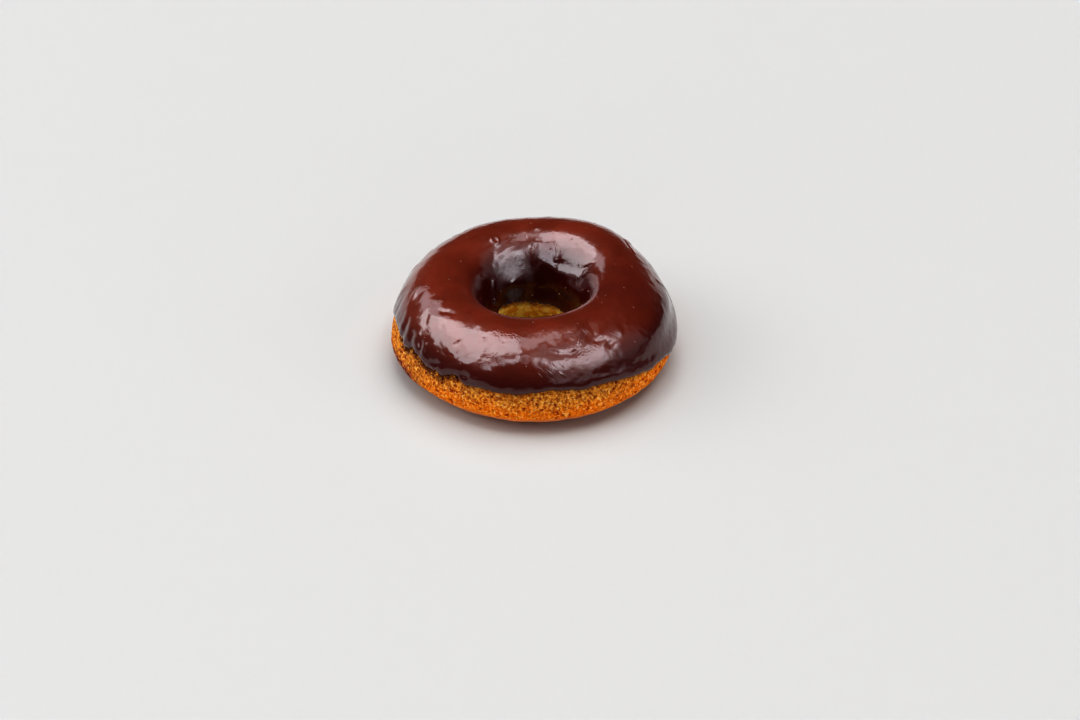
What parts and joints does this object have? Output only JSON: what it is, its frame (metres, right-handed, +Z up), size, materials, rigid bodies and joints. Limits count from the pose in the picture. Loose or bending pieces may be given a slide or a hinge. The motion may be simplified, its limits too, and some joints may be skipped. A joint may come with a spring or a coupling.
{
  "type": "chocolate-iced ring doughnut",
  "caption": "Baked ring doughnut with a wide-mouthed centre hole and a thin glossy dark chocolate icing over its domed top.",
  "frame": {"origin": "middle of the hole on the surface that the doughnut rests on", "axes": "+Z up through the hole, -Y towards the viewer of the picture, +X to the viewer's right"},
  "size_m": [0.0867, 0.0863, 0.0289],
  "materials": {
    "baked_dough": "golden brown baked crumb with small dark pores, matt",
    "chocolate_icing": "set dark chocolate icing, red-brown and glossy, softly dimpled"
  },
  "bodies": {
    "root": {"baked_ring": "baked_dough", "chocolate_icing": "chocolate_icing"}
  },
  "joints": []
}
